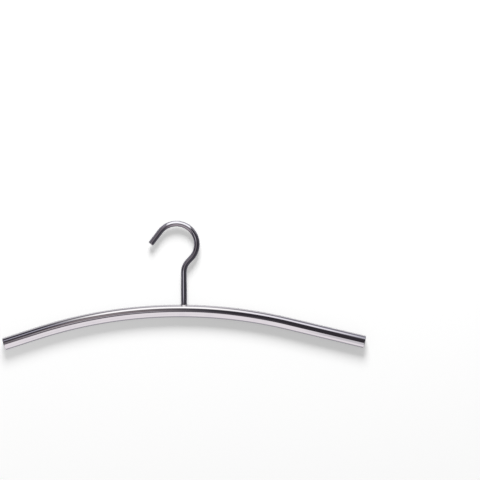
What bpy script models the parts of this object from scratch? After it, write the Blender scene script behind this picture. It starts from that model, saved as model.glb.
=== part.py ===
"""Stainless steel clothes hanger: a bowed round tube with a welded rod hook.

The garment's shoulders lie on the bowed tube. A turned plug closes each end of the tube. The
hook is one bent rod: its foot passes through a hole in the top of the tube, and a fillet weld
round the foot joins the two.

Metres. +Z is up along the stem, +X is to the right with the hook open to the left, and +Y
points away from the viewer. The origin is the rail seat, the top of the inside of the hook,
where the rail bears. The bow's highest point lies straight below it.
"""

import math

import bmesh
import bpy
from mathutils import Vector

# Shoulder tube, bowed in one plane about a point below its middle
TUBE_DIAMETER = 0.015
TUBE_WALL = 0.001
BOW_RADIUS = 0.5635
LEFT_BOW_ANGLE = math.radians(17.4)
RIGHT_BOW_ANGLE = math.radians(13.8)
LEFT_STRAIGHT = 0.0425
RIGHT_STRAIGHT = 0.095
TUBE_END_CHAMFER = 0.0003

# Plugs that close the tube's ends
PLUG_LENGTH = 0.005
PLUG_LEAD_IN = 0.0008

# Hook rod, bent from one length: foot, stem, neck bend, hook, tip
ROD_DIAMETER = 0.007
HOOK_RADIUS = 0.0247
HOOK_END_ANGLE = math.radians(142.1)
TIP_LENGTH = 0.0189
NECK_RADIUS = 0.0194
NECK_STRAIGHT = 0.0057
STEM_OFFSET = 0.0087
STEM_LENGTH = 0.0391
FOOT_DEPTH = 0.005
ROD_END_CHAMFER = 0.0004

# Fillet weld between the stem and the tube
WELD_HEIGHT = 0.0016
WELD_REACH = 0.0012
WELD_TOE = 0.0002

# Gap that separate solids keep, and how far a cutter runs past what it cuts
FIT_GAP = 0.0003
CUT_OVERRUN = 0.002

# Facets
TUBE_SIDES = 36
ROD_SIDES = 20
BOW_STEPS = 34
HOOK_STEPS = 34
NECK_STEPS = 9
WELD_SIDES = 40
WELD_STEPS = 4
SMOOTH_ANGLE = math.radians(30)

# Worked out from the sizes above
TUBE_RADIUS = TUBE_DIAMETER / 2
BORE_RADIUS = TUBE_RADIUS - TUBE_WALL
ROD_RADIUS = ROD_DIAMETER / 2
HOLE_RADIUS = ROD_RADIUS + FIT_GAP


def neck_angle():
    """Angle by which the neck leans to the right, so that the stem meets STEM_OFFSET."""
    both_radii = HOOK_RADIUS + NECK_RADIUS
    reach = math.hypot(both_radii, NECK_STRAIGHT)
    lean_of_straight = math.atan2(NECK_STRAIGHT, both_radii)
    return math.acos((STEM_OFFSET + NECK_RADIUS) / reach) - lean_of_straight


NECK_ANGLE = neck_angle()
HOOK_CENTRE_Z = ROD_RADIUS - HOOK_RADIUS
NECK_RISE = (HOOK_RADIUS + NECK_RADIUS) * math.sin(NECK_ANGLE) + NECK_STRAIGHT * math.cos(NECK_ANGLE)
TUBE_TOP_Z = HOOK_CENTRE_Z - NECK_RISE - STEM_LENGTH
BOW_CENTRE_Z = TUBE_TOP_Z - math.sqrt((BOW_RADIUS + TUBE_RADIUS) ** 2 - STEM_OFFSET ** 2)
BOW_TOP_Z = BOW_CENTRE_Z + BOW_RADIUS


def bow_surface_z(x, y, radius):
    """Height of the bow's upper surface over (x, y), for a tube of the given radius."""
    to_bow_centre = BOW_RADIUS + math.sqrt(radius ** 2 - y ** 2)
    return BOW_CENTRE_Z + math.sqrt(to_bow_centre ** 2 - x ** 2)


class Path:
    """Centreline in the XZ plane, laid down as a bender works: straight runs and turns."""

    def __init__(self, start, heading):
        """Start at a point, heading at an angle from +X towards +Z."""
        self.stations = [(start.copy(), heading)]

    def run(self, length):
        """Go straight on for a length."""
        point, heading = self.stations[-1]
        ahead = Vector((math.cos(heading), 0, math.sin(heading)))
        self.stations.append((point + ahead * length, heading))

    def turn(self, radius, angle, steps):
        """Follow an arc, to the left when angle is positive and to the right when negative."""
        point, heading = self.stations[-1]
        side = math.copysign(radius, angle)
        centre = point + Vector((-math.sin(heading), 0, math.cos(heading))) * side
        for step in range(1, steps + 1):
            now = heading + angle * step / steps
            offset = Vector((math.sin(now), 0, -math.cos(now))) * side
            self.stations.append((centre + offset, now))


def ring(station, radius, sides):
    """Points of a circle round a station of a path, square to the path."""
    centre, heading = station
    upward = Vector((-math.sin(heading), 0, math.cos(heading)))
    sideways = Vector((0, 1, 0))
    points = []
    for side in range(sides):
        angle = math.tau * side / sides
        points.append(centre + (upward * math.cos(angle) + sideways * math.sin(angle)) * radius)
    return points


def skin(name, rings, closed):
    """Mesh through a row of rings of points. A row that isn't closed gets a flat cap at each end."""
    bm = bmesh.new()
    loops = [[bm.verts.new(point) for point in points] for points in rings]
    following = loops[1:] + loops[:1] if closed else loops[1:]
    for loop, next_loop in zip(loops, following):
        count = len(loop)
        for side in range(count):
            beside = (side + 1) % count
            bm.faces.new((loop[side], loop[beside], next_loop[beside], next_loop[side]))
    if not closed:
        bm.faces.new(loops[0])
        bm.faces.new(loops[-1])
    bmesh.ops.recalc_face_normals(bm, faces=bm.faces)
    mesh = bpy.data.meshes.new(name)
    bm.to_mesh(mesh)
    bm.free()
    mesh.shade_smooth()
    mesh.set_sharp_from_angle(angle=SMOOTH_ANGLE)
    return mesh


def steel(name, colour, roughness):
    """Stainless steel finish of one piece."""
    material = bpy.data.materials.new(name)
    material.use_nodes = True
    shader = material.node_tree.nodes["Principled BSDF"]
    shader.inputs["Base Color"].default_value = (*colour, 1)
    shader.inputs["Metallic"].default_value = 1
    shader.inputs["Roughness"].default_value = roughness
    material.diffuse_color = (*colour, 1)
    return material


def place(name, mesh, location, turn_about_y=0):
    """Object for a mesh, placed and turned in the hanger's plane."""
    piece = bpy.data.objects.new(name, mesh)
    piece.location = location
    piece.rotation_euler = (0, turn_about_y, 0)
    bpy.context.scene.collection.objects.link(piece)
    return piece


def bow_path():
    """Centreline of the shoulder tube from its left end, with the bow's highest point at zero."""
    rise = LEFT_STRAIGHT * math.sin(LEFT_BOW_ANGLE) + BOW_RADIUS * (1 - math.cos(LEFT_BOW_ANGLE))
    reach = LEFT_STRAIGHT * math.cos(LEFT_BOW_ANGLE) + BOW_RADIUS * math.sin(LEFT_BOW_ANGLE)
    path = Path(Vector((-reach, 0, -rise)), LEFT_BOW_ANGLE)
    path.run(TUBE_END_CHAMFER)
    path.run(LEFT_STRAIGHT - TUBE_END_CHAMFER)
    path.turn(BOW_RADIUS, -(LEFT_BOW_ANGLE + RIGHT_BOW_ANGLE), BOW_STEPS)
    path.run(RIGHT_STRAIGHT - TUBE_END_CHAMFER)
    path.run(TUBE_END_CHAMFER)
    return path


def make_shoulder_tube():
    """Hollow bowed tube with both ends open and a hole in its top for the hook's foot."""
    stations = bow_path().stations
    outside = [ring(station, TUBE_RADIUS, TUBE_SIDES) for station in stations]
    outside[0] = ring(stations[0], TUBE_RADIUS - TUBE_END_CHAMFER, TUBE_SIDES)
    outside[-1] = ring(stations[-1], TUBE_RADIUS - TUBE_END_CHAMFER, TUBE_SIDES)
    bore_stations = stations[:1] + stations[2:-2] + stations[-1:]
    inside = [ring(station, BORE_RADIUS, TUBE_SIDES) for station in reversed(bore_stations)]
    mesh = skin("shoulder_tube", outside + inside, closed=True)
    mesh.materials.append(steel("polished_tube_steel", (0.79, 0.78, 0.79), 0.08))
    tube = place("shoulder_tube", mesh, (0, 0, BOW_TOP_Z))
    hole = tube.modifiers.new("foot_hole", "BOOLEAN")
    hole.operation = "DIFFERENCE"
    hole.solver = "EXACT"
    hole.object = make_foot_hole_cutter()
    return tube


def make_foot_hole_cutter():
    """Cylinder that cuts the foot's hole through the tube's upper wall only."""
    height = TUBE_RADIUS + CUT_OVERRUN
    path = Path(Vector((0, 0, -TUBE_RADIUS)), math.radians(90))
    path.run(height)
    rings = [ring(station, HOLE_RADIUS, ROD_SIDES) for station in path.stations]
    mesh = skin("foot_hole_cutter", rings, closed=False)
    cutter = place("foot_hole_cutter", mesh, (STEM_OFFSET, 0, TUBE_TOP_Z))
    cutter.hide_render = True
    cutter.display_type = "WIRE"
    return cutter


def hook_path():
    """Centreline of the hook rod from its foot inside the tube to the tip of the hook."""
    path = Path(Vector((STEM_OFFSET, 0, TUBE_TOP_Z - FOOT_DEPTH)), math.radians(90))
    path.run(ROD_END_CHAMFER)
    path.run(FOOT_DEPTH + STEM_LENGTH - ROD_END_CHAMFER)
    path.turn(NECK_RADIUS, -NECK_ANGLE, NECK_STEPS)
    path.run(NECK_STRAIGHT)
    path.turn(HOOK_RADIUS, NECK_ANGLE + HOOK_END_ANGLE, HOOK_STEPS)
    path.run(TIP_LENGTH - ROD_END_CHAMFER)
    path.run(ROD_END_CHAMFER)
    return path


def make_hook_rod():
    """Solid rod bent to the stem and hook, with both ends lightly chamfered."""
    stations = hook_path().stations
    rings = [ring(station, ROD_RADIUS, ROD_SIDES) for station in stations]
    rings[0] = ring(stations[0], ROD_RADIUS - ROD_END_CHAMFER, ROD_SIDES)
    rings[-1] = ring(stations[-1], ROD_RADIUS - ROD_END_CHAMFER, ROD_SIDES)
    mesh = skin("hook_rod", rings, closed=False)
    mesh.materials.append(steel("polished_rod_steel", (0.74, 0.73, 0.74), 0.12))
    return place("hook_rod", mesh, (0, 0, 0))


def make_hook_weld():
    """Concave fillet round the stem, its underside following the top of the bow."""
    inner = ROD_RADIUS + FIT_GAP
    seat = TUBE_RADIUS + FIT_GAP
    profiles = []
    for side in range(WELD_SIDES):
        angle = math.tau * side / WELD_SIDES
        outward = Vector((math.cos(angle), math.sin(angle), 0))

        def over_seat(radius, height):
            flat = outward * radius
            surface = bow_surface_z(STEM_OFFSET + flat.x, flat.y, seat) - TUBE_TOP_Z
            return Vector((flat.x, flat.y, surface + height))

        profile = [over_seat(inner, 0), over_seat(inner + WELD_REACH, 0)]
        for step in range(WELD_STEPS + 1):
            sweep = math.radians(90) * step / WELD_STEPS
            radius = inner + WELD_REACH * (1 - math.sin(sweep))
            height = WELD_TOE + (WELD_HEIGHT - WELD_TOE) * (1 - math.cos(sweep))
            profile.append(over_seat(radius, height))
        profiles.append(profile)
    mesh = skin("hook_weld", profiles, closed=True)
    mesh.materials.append(steel("dressed_weld_steel", (0.7, 0.69, 0.69), 0.2))
    return place("hook_weld", mesh, (STEM_OFFSET, 0, TUBE_TOP_Z))


def make_end_plugs():
    """Turned disc in each end of the tube, its face flush and its inner edge chamfered."""
    path = Path(Vector((-PLUG_LENGTH, 0, 0)), 0)
    path.run(PLUG_LEAD_IN)
    path.run(PLUG_LENGTH - PLUG_LEAD_IN)
    plug_radius = BORE_RADIUS - FIT_GAP
    radii = (plug_radius - PLUG_LEAD_IN, plug_radius, plug_radius)
    rings = [ring(station, radius, TUBE_SIDES) for station, radius in zip(path.stations, radii)]
    stations = bow_path().stations
    ends = (
        ("end_plug_left", stations[0], math.pi - LEFT_BOW_ANGLE),
        ("end_plug_right", stations[-1], RIGHT_BOW_ANGLE),
    )
    for name, (point, _), turn in ends:
        mesh = skin(name, rings, closed=False)
        mesh.materials.append(steel(name + "_steel", (0.76, 0.75, 0.76), 0.1))
        place(name, mesh, point + Vector((0, 0, BOW_TOP_Z)), turn)


def main():
    """Clear the scene and build every piece."""
    for existing in list(bpy.data.objects):
        bpy.data.objects.remove(existing)
    make_shoulder_tube()
    make_hook_rod()
    make_hook_weld()
    make_end_plugs()


main()
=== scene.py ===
"""Looks of the stainless steel clothes hanger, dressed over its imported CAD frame.

Metres. The bow and hook lie in the XZ plane with the rail seat at the origin, and the viewer
looks along +Y. The tube, the rod and the plugs are lofted round stations of a bent centreline,
and the weld is a formula over the bow's surface.
"""

import logging
import math
from collections.abc import Callable
from dataclasses import dataclass
from enum import Enum
from functools import partial
from typing import Any

import bmesh
import bpy
import numpy as np
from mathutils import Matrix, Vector


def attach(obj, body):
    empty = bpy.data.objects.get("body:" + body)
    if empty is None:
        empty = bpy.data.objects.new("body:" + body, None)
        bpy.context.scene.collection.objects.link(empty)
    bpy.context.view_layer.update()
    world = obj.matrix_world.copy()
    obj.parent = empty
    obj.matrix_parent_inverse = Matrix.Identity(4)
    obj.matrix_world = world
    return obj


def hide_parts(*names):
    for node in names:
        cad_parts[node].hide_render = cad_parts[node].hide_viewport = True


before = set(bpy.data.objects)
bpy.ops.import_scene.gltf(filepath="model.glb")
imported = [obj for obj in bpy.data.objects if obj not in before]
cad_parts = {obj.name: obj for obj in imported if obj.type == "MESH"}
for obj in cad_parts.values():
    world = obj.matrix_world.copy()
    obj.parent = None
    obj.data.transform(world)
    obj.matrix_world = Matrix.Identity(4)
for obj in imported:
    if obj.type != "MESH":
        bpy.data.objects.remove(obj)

logging.basicConfig(level=logging.INFO, format="%(message)s")
log = logging.getLogger("hanger")

MM = 0.001
QUARTER_TURN = math.radians(90)
ROOT_BODY = "root"
# Attribute with each point's place on the bar as it was before bending, for its material
STRAIGHTENED = "straightened"
# Attribute with the light painted on each point of a studio surface
GLOW = "glow"
# Edges sharper than this stay hard when a piece is shaded smooth
HARD_EDGE = math.radians(32)
# Points of a loft nearer than this are one, which closes its seams and poles
MERGE_DISTANCE = 0.002 * MM
# Steps of the small round between an end face and a bar's side
EDGE_STEPS = 4
# Level of the plain fill that soft light gets where a mirror sees the bright studio
SOFT_FILL = 0.14
WHITE = "#ffffff"

Triple = tuple[float, float, float]

# Kinds of node that come up often
ATTRIBUTE = "ShaderNodeAttribute"
BUMP = "ShaderNodeBump"
CLEAR = "ShaderNodeBsdfTransparent"
COMBINE = "ShaderNodeCombineXYZ"
EMISSION = "ShaderNodeEmission"
GEOMETRY = "ShaderNodeNewGeometry"
LIGHT_PATH = "ShaderNodeLightPath"
# Its inputs are a value, and the lowest and highest that it comes from and goes to
MAP_RANGE = "ShaderNodeMapRange"
MATH = "ShaderNodeMath"
MIX = "ShaderNodeMix"
MIX_SHADER = "ShaderNodeMixShader"
NOISE = "ShaderNodeTexNoise"
SURFACE_OUTPUT = "ShaderNodeOutputMaterial"
VECTOR_MATH = "ShaderNodeVectorMath"

# Settings of nodes that come up often
ADD = {"operation": "ADD"}
SUBTRACT = {"operation": "SUBTRACT"}
MULTIPLY = {"operation": "MULTIPLY"}
DIVIDE = {"operation": "DIVIDE"}
MAXIMUM = {"operation": "MAXIMUM"}
SINE = {"operation": "SINE"}
COSINE = {"operation": "COSINE"}
COLOURS = {"data_type": "RGBA"}
SMOOTH_STEP = {"interpolation_type": "SMOOTHSTEP"}


def linear(hex_colour: str) -> tuple[float, float, float, float]:
    """Turn an sRGB hex colour into linear RGBA.

    Args:
        hex_colour: Colour such as "#c8c6c9".

    Returns:
        Linear red, green, blue and an alpha of 1.
    """
    channels = [int(hex_colour[place:place + 2], 16) / 255 for place in (1, 3, 5)]
    red, green, blue = (
        value / 12.92 if value <= 0.04045 else ((value + 0.055) / 1.055) ** 2.4
        for value in channels
    )
    return red, green, blue, 1.0


def add_node(
    tree: bpy.types.NodeTree,
    kind: str,
    settings: dict[str, Any] | None = None,
    inputs: dict[Any, Any] | list[Any] | None = None,
) -> bpy.types.Node:
    """Add a node with its settings, and link or set its inputs.

    Args:
        tree: Node tree that gets the node.
        kind: Blender's name for the node type.
        settings: Properties of the node.
        inputs: A value, or the socket or node that feeds it, for each input: by its name or
            number, or in a list from the first input on. A node feeds by its first output.

    Returns:
        The new node.
    """
    node = tree.nodes.new(kind)
    for name, value in (settings or {}).items():
        setattr(node, name, value)
    for key, value in inputs.items() if isinstance(inputs, dict) else enumerate(inputs or []):
        if isinstance(value, bpy.types.Node):
            value = value.outputs[0]
        if isinstance(value, bpy.types.NodeSocket):
            tree.links.new(value, node.inputs[key])
        else:
            node.inputs[key].default_value = value
    return node


def bare_tree(owner: bpy.types.Material | bpy.types.World) -> bpy.types.NodeTree:
    """Turn on the node tree of a new material or world, and empty it.

    Args:
        owner: Material or world.

    Returns:
        Its empty tree.
    """
    owner.use_nodes = True
    owner.node_tree.nodes.clear()
    return owner.node_tree


def add_object(name: str, data: bpy.types.ID) -> bpy.types.Object:
    """Add an object to the scene, at the origin.

    Args:
        name: Name of the object.
        data: Its mesh, lamp or lens.

    Returns:
        The new object.
    """
    added = bpy.data.objects.new(name, data)
    bpy.context.scene.collection.objects.link(added)
    return added


def smooth(low: float, high: float, value: np.ndarray) -> np.ndarray:
    """Smooth step from 0 at low to 1 at high."""
    share = np.clip((value - low) / (high - low), 0, 1)
    return share * share * (3 - 2 * share)


class Process(Enum):
    """How a steel surface was last worked, which sets the way its fine lines run."""

    LENGTHWISE_BUFFED = "lengthwise"
    TURNED = "turned"
    HAND_DRESSED = "dressed"


@dataclass(frozen=True)
class PolishedSteel:
    """Stainless steel, cold worked to its shape and then polished, as one worked surface.

    Polished stainless mirrors its surroundings with a slightly warm grey cast. Buffing leaves
    hair-fine lines that stretch each reflection along them, handling leaves faint dull smears,
    and bending leaves the surface very slightly wavy, so that reflected edges aren't ruled.

    Real polishing lines are about 0.02 mm apart, which is far too fine to show. line_pitch
    draws them over ten times as coarse, so that they soften the mirror at all.
    """

    name: str
    colour: str
    dull_colour: str
    process: Process
    roughness: float
    smear_roughness: float
    line_pitch: float
    line_depth: float
    wave_length: float
    wave_depth: float
    # Only buffing along the bar has a length of line
    line_length: float = 0.0
    # A smear is about as wide as a fingertip, and lies where its noise is between these
    smear_width: float = 14 * MM
    smear_noise: tuple[float, float] = (0.46, 0.72)
    # Most of the lines' noise is between these, and varies the roughness by this share
    line_noise: tuple[float, float] = (0.3, 0.7)
    line_dulling: float = 0.15

    def line_scale(self) -> Triple:
        """Scale at which one noise cell is one polishing line.

        Returns:
            Cells per metre across, upward and along the straightened bar.
        """
        fine = 1 / self.line_pitch
        if self.process is Process.LENGTHWISE_BUFFED:
            return fine, fine, 1 / self.line_length
        return fine, fine, fine

    def build(self) -> bpy.types.Material:
        """Build the material's nodes.

        Returns:
            The finished material.
        """
        material = bpy.data.materials.new(self.name)
        add = partial(add_node, bare_tree(material))
        place = add(ATTRIBUTE, {"attribute_name": STRAIGHTENED}).outputs["Vector"]
        worked = place
        if self.process is Process.TURNED:
            # A lathe's lines are rings, so they follow the distance from the middle alone
            flat = add(VECTOR_MATH, MULTIPLY, [place, (1, 1, 0)])
            radius = add(VECTOR_MATH, {"operation": "LENGTH"}, [flat])
            worked = add(COMBINE, {}, [radius.outputs["Value"]])
        stretched = add(VECTOR_MATH, MULTIPLY, [worked, self.line_scale()])
        lines = add(
            NOISE, {}, {"Vector": stretched, "Scale": 1.0, "Detail": 4.0, "Roughness": 0.6}
        )
        smears = add(
            NOISE,
            {},
            {"Vector": place, "Scale": 1 / self.smear_width, "Detail": 3.0, "Roughness": 0.55},
        )
        waves = add(NOISE, {}, {"Vector": place, "Scale": 1 / self.wave_length, "Detail": 1.0})
        smeared = add(MAP_RANGE, SMOOTH_STEP, [smears, *self.smear_noise])
        tone = add(
            MIX, COLOURS, {"Factor": smeared, 6: linear(self.colour), 7: linear(self.dull_colour)}
        )
        dulled = add(MAP_RANGE, {}, [smeared, 0.0, 1.0, self.roughness, self.smear_roughness])
        lined = add(
            MAP_RANGE, {}, [lines, *self.line_noise, 1 - self.line_dulling, 1 + self.line_dulling]
        )
        rough = add(MATH, MULTIPLY, [dulled, lined])
        wavy = add(BUMP, {}, {"Height": waves, "Distance": self.wave_depth, "Strength": 1.0})
        relief = add(
            BUMP,
            {},
            {"Height": lines, "Distance": self.line_depth, "Strength": 1.0, "Normal": wavy},
        )
        steel = add(
            "ShaderNodeBsdfPrincipled",
            {},
            {
                "Base Color": tone.outputs[2],
                "Metallic": 1.0,
                "Roughness": rough,
                "Normal": relief,
            },
        )
        add(SURFACE_OUTPUT, {}, {"Surface": steel})
        material.diffuse_color = linear(self.colour)
        return material


@dataclass
class Station:
    """One place on a centreline: where it is, which way it heads and how far along it is."""

    place: Vector
    heading: float
    travel: float

    def ahead(self, distance: float) -> "Station":
        """Station straight ahead of this one, or behind it when the distance is negative."""
        forward = Vector((math.cos(self.heading), 0, math.sin(self.heading)))
        return Station(self.place + forward * distance, self.heading, self.travel + distance)


class Centreline:
    """Centreline in the XZ plane, laid down as a bender works: straight runs and turns."""

    def __init__(self, start: Vector, heading: float) -> None:
        """Start a centreline.

        Args:
            start: First point.
            heading: Angle from +X towards +Z.
        """
        self.stations = [Station(start, heading, 0.0)]

    def run(self, length: float, steps: int) -> None:
        """Go straight on.

        Args:
            length: Length of the run.
            steps: Number of stations along it.
        """
        first = self.stations[-1]
        self.stations += [first.ahead(length * step / steps) for step in range(1, steps + 1)]

    def turn(self, radius: float, angle: float, steps: int) -> None:
        """Follow an arc.

        Args:
            radius: Radius of the arc.
            angle: Angle turned, to the left when positive.
            steps: Number of stations along it.
        """
        first = self.stations[-1]
        side = math.copysign(radius, angle)
        left = Vector((-math.sin(first.heading), 0, math.cos(first.heading)))
        centre = first.place + left * side
        for step in range(1, steps + 1):
            now = first.heading + angle * step / steps
            offset = Vector((math.sin(now), 0, -math.cos(now))) * side
            gone = abs(radius * angle) * step / steps
            self.stations.append(Station(centre + offset, now, first.travel + gone))


@dataclass
class Ring:
    """A ring of the loft: a station and the radius there."""

    station: Station
    radius: float


def closed_end(
    radius: float, ease: float, face_shares: tuple[float, ...]
) -> list[tuple[float, float]]:
    """Profile of a solid end: its flat face from the middle out, then its rounded edge.

    Args:
        radius: Radius of the bar.
        ease: Radius of the rounded edge.
        face_shares: Shares of the face's radius that get a ring, 0 first, for the pole.

    Returns:
        Depth behind the face and radius of each ring.
    """
    face = radius - ease
    profile = [(0.0, face * share) for share in face_shares]
    for step in range(EDGE_STEPS + 1):
        angle = QUARTER_TURN * step / EDGE_STEPS
        profile.append((ease * (1 - math.cos(angle)), radius - ease * (1 - math.sin(angle))))
    return profile


def rings_along(
    stations: list[Station], radius: float, end: list[tuple[float, float]]
) -> list[Ring]:
    """Rings of a bar or tube whose two ends have the same profile.

    Args:
        stations: Stations from end to end.
        radius: Radius between the ends.
        end: Depth behind the end and radius of each ring of an end.

    Returns:
        Rings from end to end.
    """
    first, *between, last = stations
    rings = [Ring(first.ahead(depth), width) for depth, width in end]
    rings += [Ring(station, radius) for station in between]
    return rings + [Ring(last.ahead(-depth), width) for depth, width in reversed(end)]


class LoftTree:
    """Geometry Nodes tree that lofts a skin through rings round a bent centreline."""

    def __init__(self) -> None:
        """Build the tree once, for every piece that is lofted."""
        tree = bpy.data.node_groups.new("loft_round_centreline", "GeometryNodeTree")
        self.tree = tree
        for name, kind in (
            ("Rings", "Geometry"),
            ("Ring Count", "Int"),
            ("Sides", "Int"),
            ("Loop Back", "Bool"),
            ("Merge Distance", "Float"),
            ("Finish", "Material"),
        ):
            tree.interface.new_socket(name, in_out="INPUT", socket_type="NodeSocket" + kind)
        tree.interface.new_socket("Skin", in_out="OUTPUT", socket_type="NodeSocketGeometry")
        add = partial(add_node, tree)
        given = add("NodeGroupInput").outputs

        # A flat grid: a row for each ring, and a column for each side and one to close it
        rows = add(MATH, ADD, [given["Ring Count"], given["Loop Back"]])
        columns = add(MATH, ADD, [given["Sides"], 1.0])
        grid = add("GeometryNodeMeshGrid", {}, {"Vertices X": rows, "Vertices Y": columns})

        # Each point's ring and its angle round it; the small share guards the rounding down
        index = add("GeometryNodeInputIndex")
        row = add(MATH, DIVIDE, [index, columns])
        row = add(MATH, ADD, [row, 1e-4])
        row = add(MATH, {"operation": "FLOOR"}, [row])
        before = add(MATH, MULTIPLY, [row, columns])
        side = add(MATH, SUBTRACT, [index, before])
        ring = add(MATH, {"operation": "MODULO"}, [row, given["Ring Count"]])
        turn = add(MATH, DIVIDE, [side, given["Sides"]])
        turn = add(MATH, MULTIPLY, [turn, math.tau])
        sampled = []
        for name, data_type in (
            ("position", "FLOAT_VECTOR"),
            ("radius", "FLOAT"),
            ("heading", "FLOAT"),
            ("travel", "FLOAT"),
        ):
            kind = {"data_type": data_type}
            value = add("GeometryNodeInputNamedAttribute", kind, {"Name": name})
            inputs = {"Geometry": given["Rings"], "Value": value, "Index": ring}
            sampled.append(add("GeometryNodeSampleIndex", kind | {"domain": "POINT"}, inputs))
        centre, radius, heading, travel = sampled

        # Its place on the circle that stands square to the centreline
        sine = add(MATH, SINE, [turn])
        cosine = add(MATH, COSINE, [turn])
        across = add(MATH, MULTIPLY, [sine, radius])
        upward = add(MATH, MULTIPLY, [cosine, radius])
        lean = add(MATH, SINE, [heading])
        rise = add(MATH, COSINE, [heading])
        back = add(MATH, MULTIPLY, [lean, -1.0])
        aside = add(MATH, MULTIPLY, [back, upward])
        above = add(MATH, MULTIPLY, [rise, upward])
        offset = add(COMBINE, {}, [aside, across, above])
        point = add(VECTOR_MATH, ADD, [centre, offset])
        placed = add("GeometryNodeSetPosition", {}, {"Geometry": grid, "Position": point})

        straight = add(COMBINE, {}, [across, upward, travel])
        stored = add(
            "GeometryNodeStoreNamedAttribute",
            {"data_type": "FLOAT_VECTOR", "domain": "POINT"},
            {"Geometry": placed, "Name": STRAIGHTENED, "Value": straight},
        )
        merged = add(
            "GeometryNodeMergeByDistance",
            {},
            {"Geometry": stored, "Distance": given["Merge Distance"]},
        )
        smoothed = add("GeometryNodeSetShadeSmooth", {}, {"Geometry": merged})
        real = add("GeometryNodeRealizeInstances", {}, {"Geometry": smoothed})
        dressed = add(
            "GeometryNodeSetMaterial", {}, {"Geometry": real, "Material": given["Finish"]}
        )
        add("NodeGroupOutput", {}, [dressed])

    def loft(
        self,
        name: str,
        rings: list[Ring],
        sides: int,
        loop_back: bool,
        finish: bpy.types.Material,
    ) -> bpy.types.Object:
        """Loft one piece.

        Args:
            name: Name of the piece.
            rings: Rings in order; a ring of no radius closes an end as a pole.
            sides: Number of sides round.
            loop_back: Whether the last ring joins the first, as on a hollow tube.
            finish: Material of the piece.

        Returns:
            The piece as a plain mesh object at the origin.
        """
        mesh = bpy.data.meshes.new(name + "_rings")
        mesh.from_pydata([ring.station.place for ring in rings], [], [])
        for key, numbers in (
            ("radius", [ring.radius for ring in rings]),
            ("heading", [ring.station.heading for ring in rings]),
            ("travel", [ring.station.travel for ring in rings]),
        ):
            mesh.attributes.new(key, "FLOAT", "POINT").data.foreach_set("value", numbers)
        host = add_object(name + "_rings", mesh)
        modifier = host.modifiers.new("loft", "NODES")
        modifier.node_group = self.tree
        settings = {
            "Ring Count": len(rings),
            "Sides": sides,
            "Loop Back": loop_back,
            "Merge Distance": MERGE_DISTANCE,
            "Finish": finish,
        }
        for item in self.tree.interface.items_tree:
            if item.name in settings:
                modifier[item.identifier] = settings[item.name]
        evaluated = host.evaluated_get(bpy.context.evaluated_depsgraph_get())
        skin = bpy.data.meshes.new_from_object(evaluated)
        skin.name = name
        host.modifiers.remove(modifier)
        bpy.data.objects.remove(host)
        bpy.data.meshes.remove(mesh)
        return finished_piece(name, skin, finish)


def finished_piece(
    name: str, mesh: bpy.types.Mesh, finish: bpy.types.Material
) -> bpy.types.Object:
    """Turn a mesh's faces outwards, mark its hard edges and add it to the scene.

    Args:
        name: Name of the piece.
        mesh: Its closed mesh.
        finish: Its material.

    Returns:
        The piece's object, at the origin.
    """
    bm = bmesh.new()
    bm.from_mesh(mesh)
    bmesh.ops.recalc_face_normals(bm, faces=bm.faces)
    bm.to_mesh(mesh)
    bm.free()
    mesh.materials.clear()
    mesh.materials.append(finish)
    mesh.shade_smooth()
    mesh.set_sharp_from_angle(angle=HARD_EDGE)
    return add_object(name, mesh)


def hand_over(piece: bpy.types.Object, node: str) -> None:
    """Put a finished piece on the frame in the place of its CAD node.

    Args:
        piece: Finished piece.
        node: CAD node that it stands for.
    """
    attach(piece, ROOT_BODY)
    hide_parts(node)


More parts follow.
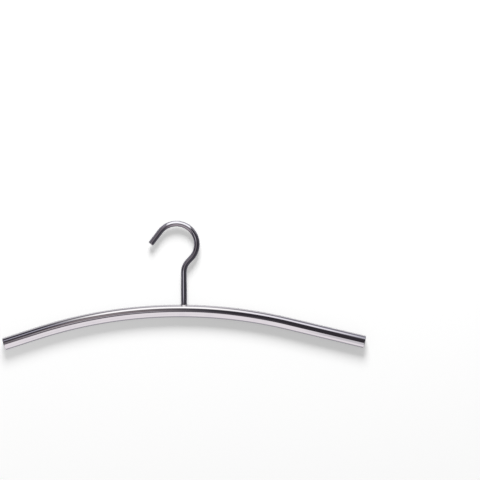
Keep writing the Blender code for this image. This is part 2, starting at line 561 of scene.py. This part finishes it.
@dataclass
class HookRod:
    """Solid rod bent to the stem and hook."""

    diameter: float = 7 * MM
    hook_radius: float = 24.7 * MM
    hook_end_angle: float = math.radians(142.1)
    tip_length: float = 18.9 * MM
    neck_radius: float = 19.4 * MM
    neck_straight: float = 5.7 * MM
    stem_offset: float = 8.7 * MM
    stem_length: float = 39.1 * MM
    foot_depth: float = 5 * MM
    end_round: float = 0.8 * MM
    end_face_shares: tuple[float, ...] = (0.0, 0.35, 0.7)
    # How far the skin stays inside the CAD rod's
    inset: float = 0.03 * MM
    sides: int = 72
    stem_steps: int = 30
    neck_steps: int = 28
    neck_straight_steps: int = 5
    hook_steps: int = 110
    tip_steps: int = 14

    @property
    def neck_angle(self) -> float:
        """Angle by which the neck leans to the right.

        Returns:
            Angle at which the stem and the hook stand the stem's offset apart.
        """
        both = self.hook_radius + self.neck_radius
        reach = math.hypot(both, self.neck_straight)
        lean = math.atan2(self.neck_straight, both)
        return math.acos((self.stem_offset + self.neck_radius) / reach) - lean

    @property
    def tube_top_z(self) -> float:
        """Height of the tube's top at the stem.

        Returns:
            Height from the rail seat, which is negative.
        """
        rise = (self.hook_radius + self.neck_radius) * math.sin(self.neck_angle)
        rise += self.neck_straight * math.cos(self.neck_angle)
        return self.diameter / 2 - self.hook_radius - rise - self.stem_length

    def rings(self) -> list[Ring]:
        """Lay the rod out from the foot inside the tube to the tip.

        Returns:
            Rings with a pole at each end.
        """
        foot = Vector((self.stem_offset, 0, self.tube_top_z - self.foot_depth))
        line = Centreline(foot, QUARTER_TURN)
        line.run(self.foot_depth + self.stem_length, self.stem_steps)
        line.turn(self.neck_radius, -self.neck_angle, self.neck_steps)
        line.run(self.neck_straight, self.neck_straight_steps)
        line.turn(self.hook_radius, self.neck_angle + self.hook_end_angle, self.hook_steps)
        line.run(self.tip_length, self.tip_steps)
        radius = self.diameter / 2 - self.inset
        end = closed_end(radius, self.end_round, self.end_face_shares)
        return rings_along(line.stations, radius, end)

    def build(self, loft: LoftTree) -> bpy.types.Object:
        """Loft the rod, dress it and put it on the frame.

        Args:
            loft: Tree that lofts it.

        Returns:
            The rod.
        """
        # Drawn bar, bent and then buffed along its length: a bright mirror, a touch cooler
        # and softer than the tube's, since a wheel bears on less of a thin rod
        finish = PolishedSteel(
            name="drawn_rod_polished_stainless",
            colour="#dddbe1",
            dull_colour="#d8d6dc",
            process=Process.LENGTHWISE_BUFFED,
            roughness=0.055,
            smear_roughness=0.085,
            line_pitch=0.25 * MM,
            line_depth=0.0006 * MM,
            line_length=12 * MM,
            wave_length=16 * MM,
            wave_depth=0.02 * MM,
        ).build()
        rod = loft.loft("polished_hook_rod", self.rings(), self.sides, False, finish)
        hand_over(rod, "hook_rod")
        return rod


@dataclass
class ShoulderTube:
    """Hollow round tube bowed for the shoulders, with a turned plug in each end."""

    hook: HookRod
    diameter: float = 15 * MM
    wall: float = 1 * MM
    bow_radius: float = 563.5 * MM
    left_angle: float = math.radians(17.4)
    right_angle: float = math.radians(13.8)
    left_straight: float = 42.5 * MM
    right_straight: float = 95 * MM
    # The broken edge of each end, and how far its own two edges are eased
    bevel_length: float = 0.6 * MM
    bevel_depth: float = 0.3 * MM
    bevel_round: float = 0.1 * MM
    sides: int = 112
    left_steps: int = 16
    bow_steps: int = 150
    right_steps: int = 30
    # The bore is hidden, so it keeps only every third station
    bore_stride: int = 3
    hole_gap: float = 0.3 * MM
    hole_sides: int = 48
    plug_length: float = 5 * MM
    plug_lead_in: float = 0.8 * MM
    plug_seam: float = 0.08 * MM
    plug_edge: float = 0.45 * MM
    plug_face_shares: tuple[float, ...] = (0.0, 0.25, 0.5, 0.75)
    plug_sides: int = 96

    @property
    def top_z(self) -> float:
        """Height of the bow's centreline at its top.

        Returns:
            Height from the rail seat, which is negative.
        """
        outer = self.bow_radius + self.diameter / 2
        drop = math.sqrt(outer ** 2 - self.hook.stem_offset ** 2)
        return self.hook.tube_top_z - drop + self.bow_radius

    def stations(self) -> list[Station]:
        """Lay the tube's centreline out.

        Returns:
            Stations from the left end to the right end.
        """
        left = self.left_angle
        rise = self.left_straight * math.sin(left) + self.bow_radius * (1 - math.cos(left))
        reach = self.left_straight * math.cos(left) + self.bow_radius * math.sin(left)
        line = Centreline(Vector((-reach, 0, self.top_z - rise)), left)
        line.run(self.left_straight, self.left_steps)
        line.turn(self.bow_radius, -(left + self.right_angle), self.bow_steps)
        line.run(self.right_straight, self.right_steps)
        return line.stations

    def rings(self) -> list[Ring]:
        """Lay the tube's skin out, along the outside and back along the bore.

        Returns:
            Rings of a loop, with both end faces.
        """
        stations = self.stations()
        outer = self.diameter / 2
        rim = outer - self.bevel_depth
        end = [
            (0.0, rim - self.bevel_round),
            (self.bevel_round, rim),
            (self.bevel_length, outer),
            (self.bevel_length + self.bevel_round, outer),
        ]
        bored = reversed(stations[::self.bore_stride] + stations[-1:])
        inside = [Ring(station, outer - self.wall) for station in bored]
        return rings_along(stations, outer, end) + inside

    def drill(self, tube: bpy.types.Object) -> None:
        """Cut the hole for the hook's foot through the upper wall.

        Args:
            tube: Lofted tube.
        """
        radius = self.hook.diameter / 2 + self.hole_gap
        bm = bmesh.new()
        bmesh.ops.create_cone(
            bm,
            cap_ends=True,
            segments=self.hole_sides,
            radius1=radius,
            radius2=radius,
            depth=self.diameter / 2,
        )
        foot = (self.hook.stem_offset, 0, self.hook.tube_top_z)
        bmesh.ops.translate(bm, verts=bm.verts, vec=foot)
        mesh = bpy.data.meshes.new("foot_hole_drill")
        bm.to_mesh(mesh)
        bm.free()
        cutter = add_object("foot_hole_drill", mesh)
        cut = tube.modifiers.new("foot_hole", "BOOLEAN")
        cut.operation = "DIFFERENCE"
        cut.solver = "EXACT"
        cut.object = cutter
        drilled = bpy.data.meshes.new_from_object(
            tube.evaluated_get(bpy.context.evaluated_depsgraph_get())
        )
        tube.modifiers.remove(cut)
        undrilled = tube.data
        tube.data = drilled
        drilled.name = tube.name
        bpy.data.meshes.remove(undrilled)
        bpy.data.objects.remove(cutter)
        bpy.data.meshes.remove(mesh)

    def build(self, loft: LoftTree) -> list[bpy.types.Object]:
        """Loft, drill and dress the tube, then its plugs, and put them on the frame.

        Args:
            loft: Tree that lofts them.

        Returns:
            The tube, the left plug and the right plug.
        """
        # Seam-welded tube, bent cold and then buffed along its length: a mirror that shows its
        # surroundings as long bands, whose edges waver a little
        finish = PolishedSteel(
            name="welded_tube_polished_stainless",
            colour="#e2dfe1",
            dull_colour="#dedbde",
            process=Process.LENGTHWISE_BUFFED,
            roughness=0.05,
            smear_roughness=0.07,
            line_pitch=0.3 * MM,
            line_depth=0.0008 * MM,
            line_length=25 * MM,
            wave_length=22 * MM,
            wave_depth=0.03 * MM,
        ).build()
        tube = loft.loft("polished_shoulder_tube", self.rings(), self.sides, True, finish)
        self.drill(tube)
        hand_over(tube, "shoulder_tube")
        return [tube, *self.build_plugs(loft)]

    def build_plugs(self, loft: LoftTree) -> list[bpy.types.Object]:
        """Loft and dress the turned plug in each end, and put them on the frame.

        Args:
            loft: Tree that lofts them.

        Returns:
            The left plug and the right plug.
        """
        # Discs turned from bar and ground flush: a satin mirror with faint rings, which
        # catches light from more sides than the buffed tube round it
        finish = PolishedSteel(
            name="turned_plug_stainless",
            colour="#dcd9db",
            dull_colour="#cac7ca",
            process=Process.TURNED,
            roughness=0.1,
            smear_roughness=0.16,
            line_pitch=0.25 * MM,
            line_depth=0.004 * MM,
            wave_length=4 * MM,
            wave_depth=0.004 * MM,
        ).build()
        radius = self.diameter / 2 - self.wall - self.plug_seam
        profile = closed_end(radius, self.plug_edge, self.plug_face_shares) + [
            (self.plug_length - self.plug_lead_in, radius),
            (self.plug_length, radius - self.plug_lead_in),
            (self.plug_length, 0.0),
        ]
        stations = self.stations()
        plugs = []
        for side, end, sign in (("left", stations[0], 1), ("right", stations[-1], -1)):
            rings = [
                Ring(Station(end.ahead(sign * depth).place, end.heading, depth), width)
                for depth, width in profile
            ]
            plug = loft.loft(f"turned_end_plug_{side}", rings, self.plug_sides, False, finish)
            hand_over(plug, f"end_plug_{side}")
            plugs.append(plug)
        return plugs


@dataclass
class HookWeld:
    """Fillet weld run round the foot of the stem and dressed smooth."""

    tube: ShoulderTube
    height: float = 1.6 * MM
    reach: float = 1.2 * MM
    toe: float = 0.2 * MM
    stem_clearance: float = 0.05 * MM
    tube_clearance: float = 0.02 * MM
    ripple_pitch: float = 0.9 * MM
    ripple_depth: float = 0.04 * MM
    sides: int = 144
    steps: int = 10

    def build(self) -> bpy.types.Object:
        """Shape the fillet over the bow's top, dress it and put it on the frame.

        Returns:
            The weld.
        """
        # Weld metal filed and buffed by hand: the dullest steel here, with lines in every
        # direction, so that it glints softly where it flares from the stem
        finish = PolishedSteel(
            name="dressed_weld_stainless",
            colour="#dad6d6",
            dull_colour="#cfcccd",
            process=Process.HAND_DRESSED,
            roughness=0.14,
            smear_roughness=0.22,
            line_pitch=0.3 * MM,
            line_depth=0.002 * MM,
            wave_length=1.5 * MM,
            wave_depth=0.01 * MM,
        ).build()
        mesh = bpy.data.meshes.new("dressed_hook_weld")
        points, faces = self.skin()
        mesh.from_pydata(points, [], faces)
        place = mesh.attributes.new(STRAIGHTENED, "FLOAT_VECTOR", "POINT")
        place.data.foreach_set("vector", np.array(points, dtype=np.float32).ravel())
        weld = finished_piece("dressed_hook_weld", mesh, finish)
        hand_over(weld, "hook_weld")
        return weld

    def skin(self) -> tuple[list[Triple], list[tuple[int, ...]]]:
        """Points and faces of the closed fillet ring.

        Returns:
            Points, and four point numbers for each face.
        """
        tube, hook = self.tube, self.tube.hook
        inner = hook.diameter / 2 + self.stem_clearance
        seat = tube.diameter / 2 + self.tube_clearance
        bow_centre_z = tube.top_z - tube.bow_radius
        ripples = round(math.tau * (inner + self.reach / 2) / self.ripple_pitch)
        points = []
        for side in range(self.sides):
            angle = math.tau * side / self.sides
            ripple = 1 + self.ripple_depth / self.reach * math.cos(ripples * angle)
            profile = [(inner, 0.0), (inner + self.reach, 0.0)]
            for step in range(self.steps + 1):
                sweep = QUARTER_TURN * step / self.steps
                swell = ripple if 0 < step < self.steps else 1
                out = self.reach * (1 - math.sin(sweep)) * swell
                up = self.toe + (self.height - self.toe) * (1 - math.cos(sweep))
                profile.append((inner + out, up))
            for radius, height in profile:
                x, y = hook.stem_offset + radius * math.cos(angle), radius * math.sin(angle)
                over = tube.bow_radius + math.sqrt(seat ** 2 - y ** 2)
                surface_z = bow_centre_z + math.sqrt(over ** 2 - x ** 2)
                points.append((x, y, surface_z + height))
        count = len(profile)
        faces = []
        for side in range(self.sides):
            here, beside = side * count, (side + 1) % self.sides * count
            for step in range(count):
                after = (step + 1) % count
                faces.append((here + step, here + after, beside + after, beside + step))
        return points, faces


@dataclass(frozen=True)
class Patch:
    """Soft-edged patch of light painted on one of the studio's surfaces.

    Its two spans and its edges' softness are in that surface's own measures, and flare widens
    it as the second measure grows.
    """

    across: tuple[float, float]
    upward: tuple[float, float]
    colour: str
    across_edge: float
    upward_edge: float
    strength: float = 1.0
    flare: float = 0.0
    # Keeps an edge of no softness from dividing by nothing
    least_edge: float = 1e-9

    def cover(self, across: np.ndarray, upward: np.ndarray, around: float) -> np.ndarray:
        """How much of the patch covers each place, from 0 to 1.

        Args:
            across: First measure of each place.
            upward: Second measure of each place.
            around: Length after which the first measure repeats, or 0.

        Returns:
            Cover of the patch at each place.
        """
        edge = self.upward_edge / 2 + self.least_edge
        share = smooth(self.upward[0] - edge, self.upward[0] + edge, upward)
        share *= 1 - smooth(self.upward[1] - edge, self.upward[1] + edge, upward)
        away = across - sum(self.across) / 2
        if around:
            away = (away + around / 2) % around - around / 2
        half = (self.across[1] - self.across[0]) / 2
        half = half + self.flare * np.maximum(upward - self.upward[0], 0)
        edge = self.across_edge / 2 + self.least_edge
        return share * (1 - smooth(-edge, edge, np.abs(away) - half))


@dataclass(frozen=True)
class PaintedSurface:
    """Surface of the studio that only polished steel mirrors, painted with patches of light.

    across and upward give the lowest and highest value and the number of points of its grid's
    two measures. A later patch covers an earlier one, so their order counts.
    """

    name: str
    across: tuple[float, float, int]
    upward: tuple[float, float, int]
    patches: tuple[Patch, ...]
    ground: str | None = None
    around: float = 0.0
    from_one_side: bool = False
    # Keeps a clear point from dividing by nothing
    least_cover: float = 1e-6

    def grid(self) -> list[np.ndarray]:
        """First and second measure of each point of the grid."""
        across = np.linspace(*self.across, endpoint=not self.around)
        return np.meshgrid(across, np.linspace(*self.upward))

    def build(self, places: np.ndarray) -> None:
        """Build the surface, which only mirror rays see.

        Args:
            places: Where each point of the grid is, rows by columns by three.
        """
        across, upward = self.grid()
        rows, columns = across.shape
        glow = np.zeros((rows, columns, 4))
        if self.ground:
            glow[:] = linear(self.ground)
        for patch in self.patches:
            cover = patch.cover(across, upward, self.around)[..., None]
            lit = np.array(linear(patch.colour)) * patch.strength
            lit[3] = 1
            glow = glow * (1 - cover) + lit * cover
        glow[..., :3] /= np.maximum(glow[..., 3:], self.least_cover)
        faces = []
        for row in range(rows - 1):
            first, second = row * columns, (row + 1) * columns
            for column in range(columns if self.around else columns - 1):
                after = (column + 1) % columns
                faces.append((first + column, first + after, second + after, second + column))
        mesh = bpy.data.meshes.new(self.name)
        mesh.from_pydata(places.reshape(-1, 3).tolist(), [], faces)
        colours = mesh.color_attributes.new(GLOW, "FLOAT_COLOR", "POINT")
        colours.data.foreach_set("color", glow.reshape(-1))
        mesh.materials.append(self.material())
        surface = add_object(self.name, mesh)
        for rays in ("camera", "diffuse", "transmission", "volume_scatter", "shadow"):
            setattr(surface, "visible_" + rays, False)

    def material(self) -> bpy.types.Material:
        """Light of the painted colours, clear where nothing is painted.

        Returns:
            The surface's material.
        """
        material = bpy.data.materials.new(self.name + "_light")
        material.cycles.emission_sampling = "NONE"
        add = partial(add_node, bare_tree(material))
        painted = add(ATTRIBUTE, {"attribute_name": GLOW})
        # Steel mirrored after a soft bounce sees the plain fill, as soft light does
        path = add(LIGHT_PATH)
        direct = add(MATH, {"operation": "LESS_THAN"}, [path.outputs["Diffuse Depth"], 0.5])
        level = add(MAP_RANGE, {}, [direct, 0.0, 1.0, SOFT_FILL])
        light = add(EMISSION, {}, {"Color": painted, "Strength": level})
        shown = painted.outputs["Alpha"]
        if self.from_one_side:
            side = add(GEOMETRY)
            front = add(MATH, SUBTRACT, [1.0, side.outputs["Backfacing"]])
            shown = add(MATH, MULTIPLY, [shown, front])
        clear = add(CLEAR)
        mixed = add(MIX_SHADER, {}, [shown, clear, light])
        add(SURFACE_OUTPUT, {}, {"Surface": mixed})
        return material


def seen_as_white(add: Callable[..., bpy.types.Node]) -> bpy.types.Node:
    """Share of a ray that is shown the plain white background.

    Args:
        add: add_node for the tree that asks.

    Returns:
        Node that is 1 for camera, mirror and clear rays, and 0 for rays of soft light.
    """
    path = add(LIGHT_PATH).outputs
    seen = add(MATH, MAXIMUM, [path["Is Camera Ray"], path["Is Glossy Ray"]])
    return add(MATH, MAXIMUM, [seen, path["Is Transmission Ray"]])


@dataclass
class StudioWall:
    """Matt white wall just behind the hanger, rounding into a floor far below it.

    It catches the soft shadow, and can be seen through from behind.
    """

    y: float = 7.8 * MM
    top_z: float = 1.6
    half_width: float = 3.0
    bend: float = 0.3
    bend_steps: int = 12
    floor_z: float = -0.75
    floor_near_y: float = -4.0
    # The paint is a little darker to the left and its painted glow stronger, which lightens the
    # hanger's shadow there: both go from one x to the other
    right_x: float = 0.06
    right_colour: str = "#f3f3f3"
    right_glow: float = 0.42
    left_x: float = -0.21
    left_colour: str = "#dedede"
    left_glow: float = 0.53
    # Its shading goes over to plain white between these distances from the hanger's middle
    middle_x: float = 0.01
    middle_z: float = -0.07
    fade_from: float = 0.36
    fade_to: float = 0.8

    def build(self) -> None:
        """Build the wall, which mirror rays and soft light don't see."""
        profile = [(self.y, self.top_z)]
        for step in range(self.bend_steps + 1):
            angle = QUARTER_TURN * step / self.bend_steps
            near = self.y - self.bend * (1 - math.cos(angle))
            profile.append((near, self.floor_z + self.bend * (1 - math.sin(angle))))
        profile.append((self.floor_near_y, self.floor_z))
        points = [(x, y, z) for y, z in profile for x in (-self.half_width, self.half_width)]
        faces = [
            (2 * row, 2 * row + 1, 2 * row + 3, 2 * row + 2) for row in range(len(profile) - 1)
        ]
        mesh = bpy.data.meshes.new("studio_wall")
        mesh.from_pydata(points, [], faces)
        mesh.shade_smooth()
        if mesh.polygons[0].normal.y > 0:
            mesh.flip_normals()
        mesh.materials.append(self.material())
        wall = add_object("studio_wall", mesh)
        wall.visible_glossy = False
        wall.visible_diffuse = False

    def material(self) -> bpy.types.Material:
        """Matt paint, which has no gloss, so that only the hanger's soft shadow marks it.

        Returns:
            The wall's material.
        """
        material = bpy.data.materials.new("matt_white_wall")
        add = partial(add_node, bare_tree(material))
        seen = seen_as_white(add)
        place = add("ShaderNodeTexCoord").outputs["Object"]
        apart = add("ShaderNodeSeparateXYZ", {}, [place])
        left = add(MAP_RANGE, {}, [apart, self.right_x, self.left_x])
        paint = add(
            MIX,
            COLOURS,
            {"Factor": left, 6: linear(self.right_colour), 7: linear(self.left_colour)},
        )
        matt = add("ShaderNodeBsdfDiffuse", {}, {"Color": paint.outputs[2]})
        # Painted glow, stronger to the left, which lightens the hanger's shadow there
        glow = add(MAP_RANGE, {}, [left, 0.0, 1.0, self.right_glow, self.left_glow])
        dim = add(MATH, MULTIPLY, [seen, glow])
        lift = add(EMISSION, {}, {"Color": linear(WHITE), "Strength": dim})
        near = add("ShaderNodeAddShader", {}, [matt, lift])
        plain = add(EMISSION, {}, {"Color": linear(WHITE), "Strength": seen})
        away = add(
            VECTOR_MATH,
            {"operation": "DISTANCE"},
            [place, (self.middle_x, self.y, self.middle_z)],
        )
        far = add(MAP_RANGE, SMOOTH_STEP, [away.outputs["Value"], self.fade_from, self.fade_to])
        front = add(MIX_SHADER, {}, [far, near, plain])
        clear = add(CLEAR)
        side = add(GEOMETRY).outputs["Backfacing"]
        shown = add(MIX_SHADER, {}, [side, front, clear])
        add(SURFACE_OUTPUT, {}, {"Surface": shown})
        return material


# Room round everything. Its bearings run from the right (0) over the top (90) to the left (180)
# and the bottom (270), and its polar angles are counted from the viewer's direction
ROOM = PaintedSurface(
    name="mirrored_room",
    across=(0, 360, 240),
    upward=(0, 180, 181),
    ground="#4b494f",
    around=360,
    patches=(
        # Grey upper corners
        Patch((26, 62), (32, 112), "#908e94", 16, 14),
        Patch((122, 156), (38, 112), "#88868c", 16, 14),
        # Overhead softbox, weaker to the right
        Patch((65, 84), (53, 82), "#eae9f0", 10, 8, 1.35),
        Patch((60, 84), (81, 92), "#c6c5cf", 14, 6, 0.9),
        Patch((82, 109.5), (54, 92), "#ffffff", 12, 8, 1.35),
        # Dim ceiling beyond it
        Patch((58, 126), (102, 180), "#adacb3", 20, 6),
        Patch((84, 97), (96, 180), "#d3d2d8", 14, 6),
        # Dark strip left of the softbox, and the room's dark sides
        Patch((113, 124), (71, 102), "#23212a", 4, 8),
        Patch((126, 160), (103, 130), "#5b5960", 8, 8),
        Patch((164, 196), (68, 108), "#38363c", 10, 10),
        Patch((290, 320), (66, 120), "#151318", 6, 8),
        # Pale window low on the right
        Patch((322, 346), (80, 100), "#b5b3b9", 8, 8),
        # Bluish daylight on both sides of the softbox
        Patch((56, 69.5), (48, 96), "#a3a4b1", 3, 8),
        Patch((56, 73), (93, 122), "#7f7f8b", 5, 8),
        Patch((111, 132), (53, 68), "#c0bfcf", 4, 8, 1.15),
        Patch((105, 116), (86, 104), "#5b5960", 8, 8),
        # Pale side low on the left
        Patch((208, 240), (68, 122), "#a9a6ac", 10, 8),
        # White table below, then a dimmer band of painted shadow, which the steel's lower rims
        # mirror as the shadow just under the hanger
        Patch((234, 306), (13, 112), "#faf6fa", 20, 6, 1.02),
        Patch((228, 312), (112, 180), "#a9a7ae", 20, 6),
        # Room that the steel's rims mirror
        Patch((-24, 24), (108, 180), "#97959b", 24, 12),
        Patch((156, 222), (92, 180), "#8f8d93", 24, 16),
        # Room behind, which the steel's back mirrors
        Patch((14, 166), (128, 154), "#f4f3f6", 16, 10),
        Patch((292, 348), (128, 158), "#dddce0", 12, 10),
        Patch((192, 246), (126, 158), "#dddce0", 12, 10),
        # Dark cap straight behind: painted shade where the steel meets the wall, which the rims
        # mirror
        Patch((-180, 180), (160, 181), "#3e3c42", 0, 12),
    ),
)
# Card between the viewer and the hanger, in metres along X and Z
FRONT_CARD = PaintedSurface(
    name="front_card",
    across=(-1.25, 1.35, 261),
    upward=(-1.2, 0.6, 361),
    patches=(
        # Dark room in front, whose lower edge is the far edge of the white table
        Patch((-1.2, 1.2), (-0.245, 0.49), "#4b494f", 0.1, 0.03),
        Patch((-1.2, -0.12), (-0.285, 0.0), "#4b494f", 0.1, 0.03),
        Patch((0.04, 1.2), (-0.29, 0.0), "#3b393e", 0.06, 0.03),
        Patch((0.1, 1.2), (-0.36, 0.0), "#3b393e", 0.06, 0.03),
        # Lighter and darker parts of that room
        Patch((-1.2, -0.3), (0.33, 0.6), "#77757d", 0.1, 0.06),
        Patch((0.3, 0.36), (0.22, 0.6), "#8f8d94", 0.06, 0.08),
        Patch((0.06, 0.36), (-0.33, 0.42), "#37353a", 0.08, 0.05),
        Patch((-0.32, -0.06), (-0.26, 0.36), "#9f9699", 0.24, 0.06, 0.9),
        Patch((-0.17, -0.02), (-0.045, 0.03), "#7b757b", 0.08, 0.03),
        Patch((-1.2, -0.27), (0.1, 0.3), "#242129", 0.1, 0.06),
        # Pale stripe left of the stem, with grey round it
        Patch((-0.3, 0.14), (-0.215, -0.104), "#57545a", 0.1, 0.03),
        Patch((-0.48, 0.05), (-0.107, -0.042), "#6b686f", 0.1, 0.014),
        Patch((-0.27, -0.03), (-0.106, -0.045), "#d3d1d7", 0.1, 0.014),
        # Dimmer right end of the table, and the dark past it
        Patch((-0.06, 1.26), (-1.2, -0.36), "#dbd9de", 0.06, 0.06, flare=-0.245),
        Patch((0.5, 1.5), (-1.3, -0.42), "#1f1d22", 0.1, 0.08),
    ),
)
# Light just in front of the hook and above it, in metres along X and Z
CROWN_LIGHT = PaintedSurface(
    name="crown_light",
    across=(-0.24, 0.24, 121),
    upward=(0.005, 0.41, 136),
    patches=(
        Patch((-0.022, 0.034), (0.018, 0.4), "#ffffff", 0.012, 0.008, 1.35, 0.46),
        Patch((0.021, 0.037), (0.018, 0.4), "#ffffff", 0.014, 0.008, 1.35, 0.7),
    ),
)
# Card of painted shade just below the hook, in metres along X and Y: the hook mirrors its dark
# paint as the shade under its crown. Only its upper side shows, so that the hook mirrors it and
# the tube doesn't
CROWN_PAINTED_SHADE = PaintedSurface(
    name="crown_painted_shade",
    across=(-0.32, 0.32, 129),
    upward=(-0.36, 0.18, 136),
    from_one_side=True,
    patches=(
        # Painted shade under the crown: dark grey, paler in front of the stem and behind it
        Patch((-0.3, 0.3), (-0.35, 0.2), "#47454b", 0.02, 0.001),
        Patch((-0.11, 0.03), (-0.27, 0.0), "#b7adb2", 0.07, 0.03, 0.98),
        Patch((-0.2, 0.2), (0.004, 0.17), "#6b696f", 0.05, 0.008),
    ),
)


@dataclass
class Studio:
    """White surroundings, painted surroundings for the mirrors, soft light and the camera."""

    view_centre: Triple = (0.0769, 0, -0.0169)
    view_width: float = 0.5802
    camera_distance: float = 2.42
    camera_roll: float = math.radians(0.4)
    camera_clip: tuple[float, float] = (0.1, 20)
    sensor_width_mm: float = 36
    key_width: float = 1.4
    key_watts: float = 92
    key_lift: float = math.radians(54)
    key_distance: float = 3.2
    key_target: Triple = (0.0, 0.0, -0.08)
    room_radius: float = 6.0
    front_card_y: float = -0.5
    crown_light_y: float = -0.0665
    # Height and slope of the card of painted shade below the hook
    crown_painted_shade_z: float = -0.0945
    crown_painted_shade_slope: float = 0.12

    def build(self) -> None:
        """Build everything round the object."""
        bpy.context.scene.view_settings.view_transform = "Standard"
        self.add_world()
        StudioWall().build()
        self.add_mirrored_surfaces()
        self.add_key_light()
        self.add_camera()

    def add_world(self) -> None:
        """Add white surroundings for camera, mirror and clear rays, and a plain soft fill."""
        world = bpy.context.scene.world = bpy.data.worlds.new("studio_white")
        add = partial(add_node, bare_tree(world))
        seen = seen_as_white(add)
        level = add(MAP_RANGE, {}, [seen, 0.0, 1.0, SOFT_FILL])
        light = add("ShaderNodeBackground", {}, {"Color": linear(WHITE), "Strength": level})
        add("ShaderNodeOutputWorld", {}, {"Surface": light})

    def add_mirrored_surfaces(self) -> None:
        """Add what only polished steel sees.

        It is a room round everything, a card in front of the hanger, and for the hook alone a
        light above it and a card of painted shade below it.
        """
        bearing, polar = ROOM.grid()
        tilt, turn = np.radians(polar), np.radians(bearing)
        ways = (np.sin(tilt) * np.cos(turn), -np.cos(tilt), np.sin(tilt) * np.sin(turn))
        ROOM.build(np.stack(ways, axis=-1) * self.room_radius)
        for card, y in ((FRONT_CARD, self.front_card_y), (CROWN_LIGHT, self.crown_light_y)):
            x, z = card.grid()
            card.build(np.stack((x, np.full_like(x, y), z), axis=-1))
        x, y = CROWN_PAINTED_SHADE.grid()
        z = self.crown_painted_shade_z + self.crown_painted_shade_slope * y
        CROWN_PAINTED_SHADE.build(np.stack((x, y, z), axis=-1))

    def add_key_light(self) -> None:
        """Add a large soft light high in front, which sets the shadow just below the hanger."""
        lamp = bpy.data.lights.new("key_softbox", "AREA")
        lamp.shape = "DISK"
        lamp.size = self.key_width
        lamp.energy = self.key_watts
        light = add_object("key_softbox", lamp)
        away = Vector((0, -math.cos(self.key_lift), math.sin(self.key_lift)))
        away *= self.key_distance
        light.location = Vector(self.key_target) + away
        light.rotation_euler = away.to_track_quat("Z", "Y").to_euler()
        light.visible_glossy = False

    def add_camera(self) -> None:
        """Add the face-on camera, rolled as the photograph is."""
        lens = bpy.data.cameras.new("camera")
        lens.sensor_width = self.sensor_width_mm
        lens.lens = self.sensor_width_mm * self.camera_distance / self.view_width
        lens.clip_start, lens.clip_end = self.camera_clip
        camera = add_object("camera", lens)
        camera.location = Vector(self.view_centre) - Vector((0, self.camera_distance, 0))
        camera.rotation_euler = (QUARTER_TURN, self.camera_roll, 0)
        bpy.context.scene.camera = camera


def main() -> None:
    """Build the pieces in order and report each, then the studio."""
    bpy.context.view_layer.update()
    loft = LoftTree()
    hook = HookRod()
    tube = ShoulderTube(hook)
    for piece in (*tube.build(loft), hook.build(loft), HookWeld(tube).build()):
        log.info("%s: %d faces", piece.name, len(piece.data.polygons))
    Studio().build()


if __name__ == "__main__":
    main()
